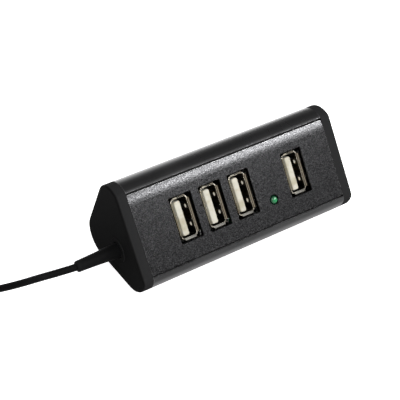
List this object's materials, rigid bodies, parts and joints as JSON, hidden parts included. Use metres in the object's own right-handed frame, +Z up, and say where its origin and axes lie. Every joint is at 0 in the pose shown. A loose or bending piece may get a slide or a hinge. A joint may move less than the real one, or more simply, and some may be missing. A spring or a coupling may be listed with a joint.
{
  "type": "usb hub",
  "caption": "Bar-shaped USB hub of rounded triangular section with type A sockets in a sloping front panel, a status light and a captive cable with a type A plug.",
  "frame": {"origin": "middle of the hub's footprint on the surface it stands on, its cable left out", "axes": "+X along the bar, away from the cable; -Y towards the side the sloping front panel faces; +Z up"},
  "size_m": [0.2038, 0.0377, 0.0331],
  "materials": {
    "bar": "black satin anodised extrusion",
    "front_panel": "charcoal metallic, fine pebbled",
    "end_cap": "matt black moulded",
    "circuit_board": "black solder mask",
    "chip_body": "black moulded package with tinned legs",
    "crystal_can": "drawn can",
    "capacitor_can": "bare can with a printed edge",
    "fuse": "green chip with tinned ends",
    "chip_capacitor": "tan ceramic with tinned ends",
    "nickel_shell": "bright nickel plate",
    "cream_plastic": "cream moulded",
    "gold_contact": "gold plate on brass",
    "light_lens": "green diffusing lens",
    "tinned_lead": "tinned",
    "wire_red": "soft insulation",
    "wire_white": "soft insulation",
    "wire_green": "soft insulation",
    "wire_black": "soft insulation",
    "cable": "smooth black jacket",
    "strain_relief": "smooth soft moulding",
    "cable_tie": "black paper-thin strap",
    "plug_grip": "matt black moulding",
    "plug_insulator": "white moulded",
    "foot": "matt pad"
  },
  "bodies": {
    "root": {"housing": "bar", "front_panel": "front_panel", "left_end_cap": "end_cap", "right_end_cap": "end_cap", "circuit_board": "circuit_board", "hub_controller": "chip_body", "light_resistor": "chip_body", "crystal": "crystal_can", "bulk_capacitor_1": "capacitor_can", "bulk_capacitor_2": "capacitor_can", "port_fuse_1": "fuse", "port_fuse_2": "fuse", "port_fuse_3": "fuse", "port_fuse_4": "fuse", "port_capacitor_1": "chip_capacitor", "port_capacitor_2": "chip_capacitor", "port_capacitor_3": "chip_capacitor", "port_capacitor_4": "chip_capacitor", "port_shell_1": "nickel_shell", "port_shell_2": "nickel_shell", "port_shell_3": "nickel_shell", "port_shell_4": "nickel_shell", "plug_shell": "nickel_shell", "port_insulator_1": "cream_plastic", "port_insulator_2": "cream_plastic", "port_insulator_3": "cream_plastic", "port_insulator_4": "cream_plastic", "port_contacts_1": "gold_contact", "port_contacts_2": "gold_contact", "port_contacts_3": "gold_contact", "port_contacts_4": "gold_contact", "plug_contacts": "gold_contact", "status_light": "light_lens", "status_light_leads": "tinned_lead", "cable_wire_red": "wire_red", "cable_wire_white": "wire_white", "cable_wire_green": "wire_green", "cable_wire_black": "wire_black", "cable_tube": "cable", "cable_coil": "cable", "cable_tail": "cable", "strain_relief": "strain_relief", "cable_tie": "cable_tie", "plug_overmould": "plug_grip", "plug_insulator": "plug_insulator", "rubber_foot_1": "foot", "rubber_foot_2": "foot", "rubber_foot_3": "foot", "rubber_foot_4": "foot"}
  },
  "joints": []
}
